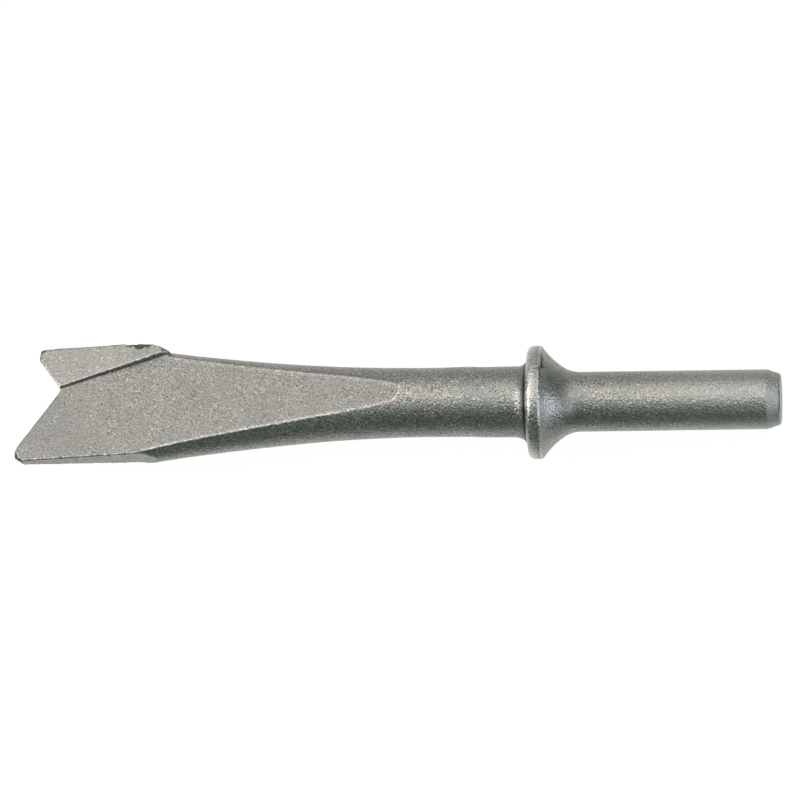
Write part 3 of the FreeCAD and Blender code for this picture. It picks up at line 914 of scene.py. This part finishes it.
# Colours of the room as the steel reflects it.
ROOM_FRONT = (0.092, 0.127, 0.104, 1)
ROOM_BEHIND = (0.42, 0.415, 0.395, 1)
ROOM_BELOW = (0.88, 0.90, 0.86, 1)

# Soft lights, in metres: place, width and height, strength and colour.
COOL_LIGHT = (0.83, 0.90, 1.0)
LIGHTS = {
    "overhead": ((-0.065, 0.11, 0.56), (1.1, 0.8), 0.78, (1.0, 0.975, 0.945)),
    "strip": ((-0.065, 0.04, 0.50), (0.9, 0.10), 0.55, (1.0, 0.98, 0.96)),
    "past_tip": ((-0.66, -0.06, 0.42), (0.4, 0.4), 4.4, (1.0, 0.985, 0.975)),
    "past_end": ((0.60, -0.09, 0.06), (0.26, 0.26), 3.4, COOL_LIGHT),
    "front_right": ((0.28, -0.31, 0.36), (0.26, 0.26), 1.5, COOL_LIGHT),
}


def camera_axes():
    """Right, up and backward directions of the camera, without roll."""
    sin_tilt, cos_tilt = math.sin(CAMERA_TILT), math.cos(CAMERA_TILT)
    sin_yaw, cos_yaw = math.sin(CAMERA_YAW), math.cos(CAMERA_YAW)
    right = Vector((cos_yaw, sin_yaw * sin_tilt, -sin_yaw * cos_tilt))
    up = Vector((0, cos_tilt, sin_tilt))
    backward = Vector((sin_yaw, -sin_tilt * cos_yaw, cos_tilt * cos_yaw))
    return right, up, backward


def add_camera():
    """Long lens that looks down on the blade's face, with the whole tool in view."""
    right, up, backward = camera_axes()
    target = (VIEW_RIGHT * right + VIEW_UP * up + VIEW_NEARER * backward) * MM
    image_right = math.cos(CAMERA_ROLL) * right - math.sin(CAMERA_ROLL) * up
    image_up = math.sin(CAMERA_ROLL) * right + math.cos(CAMERA_ROLL) * up
    turn = Matrix((image_right, image_up, backward)).transposed().to_4x4()
    data = bpy.data.cameras.new("camera")
    data.sensor_width = SENSOR_WIDTH
    data.lens = SENSOR_WIDTH * CAMERA_DISTANCE / VIEW_WIDTH
    data.clip_start, data.clip_end = CAMERA_CLIP
    camera = new_object("camera", data)
    camera.matrix_world = Matrix.Translation(target + backward * CAMERA_DISTANCE) @ turn
    bpy.context.scene.camera = camera


def only_for_camera(thing):
    """Seen by the camera, but neither lights the steel nor shows in it."""
    thing.visible_diffuse = False
    thing.visible_glossy = False
    thing.visible_transmission = False
    thing.visible_volume_scatter = False
    thing.visible_shadow = False


def pale_material(name, glow, catch):
    """Plain near-white surface: mostly its own even glow, and a little that takes shadow."""
    material = bpy.data.materials.new(name)
    material.use_nodes = True
    material.cycles.emission_sampling = "NONE"
    n = Nodes(material.node_tree)
    shine = n.add("ShaderNodeEmission", Color=(1, 1, 1, 1), Strength=glow)
    matt = n.add("ShaderNodeBsdfDiffuse", Color=(catch, catch, catch, 1))
    both = n.add("ShaderNodeAddShader")
    n.plug(both.inputs[0], shine.outputs[0])
    n.plug(both.inputs[1], matt.outputs[0])
    n.add("ShaderNodeOutputMaterial", Surface=both.outputs[0])
    return material


def add_backdrop(name, mesh, glow, catch):
    """Pale thing of the stage, made from a bmesh."""
    thing = new_object(name, finished(name, mesh))
    thing.data.materials.append(pale_material(name, glow, catch))
    only_for_camera(thing)
    return thing


def add_stage():
    """Pale floor under the collar, and a pale backdrop all round."""
    mesh = bmesh.new()
    bmesh.ops.create_circle(mesh, cap_ends=True, radius=ROOM_RADIUS, segments=96)
    floor = add_backdrop("floor", mesh, 0.98, 0.04)
    floor.location.z = -COLLAR_RADIUS * MM
    mesh = bmesh.new()
    bmesh.ops.create_icosphere(mesh, subdivisions=4, radius=ROOM_RADIUS)
    add_backdrop("backdrop", mesh, 0.99, 0.0)


def add_area_light(name, place, size, strength, colour):
    """Soft rectangle of even light that faces the tool's middle."""
    data = bpy.data.lights.new(name, "AREA")
    data.shape = "RECTANGLE"
    data.size, data.size_y = size
    data.color = colour
    data.energy = strength * math.pi * size[0] * size[1]
    light = new_object(name, data)
    facing = (TOOL_MIDDLE - Vector(place)).to_track_quat("-Z", "Y").to_matrix().to_4x4()
    light.matrix_world = Matrix.Translation(place) @ facing
    light.visible_camera = False


def add_world():
    """Room round the tool: dim and greenish in front, mid grey behind, paler below."""
    world = bpy.data.worlds.new("room")
    bpy.context.scene.world = world
    world.use_nodes = True
    n = Nodes(world.node_tree)
    way = n.add("ShaderNodeTexCoord").outputs["Generated"]
    parts = n.add("ShaderNodeSeparateXYZ", Vector=way)
    behind = n.map(parts.outputs["Y"], -0.15, 0.75)
    height = n.math("SUBTRACT", parts.outputs["Z"], n.math("MULTIPLY", behind, 0.25))
    below = n.map(height, -0.3, -1.0)
    behind = n.math("MULTIPLY", behind, n.map(parts.outputs["X"], 0.35, 0.8, 1.0, 0.0))
    colour = n.mix(behind, ROOM_FRONT, ROOM_BEHIND)
    colour = n.mix(below, colour, ROOM_BELOW)
    shine = n.add("ShaderNodeBackground", Strength=1.0, Color=colour)
    n.add("ShaderNodeOutputWorld", Surface=shine.outputs[0])


def add_lights():
    """Softbox and strip overhead, a light past the tip and two cool ones at the struck end."""
    for name, (place, size, strength, colour) in LIGHTS.items():
        add_area_light(name, place, size, strength, colour)


build_chisel()
add_stage()
add_world()
add_lights()
add_camera()
bpy.context.scene.view_settings.view_transform = "Standard"
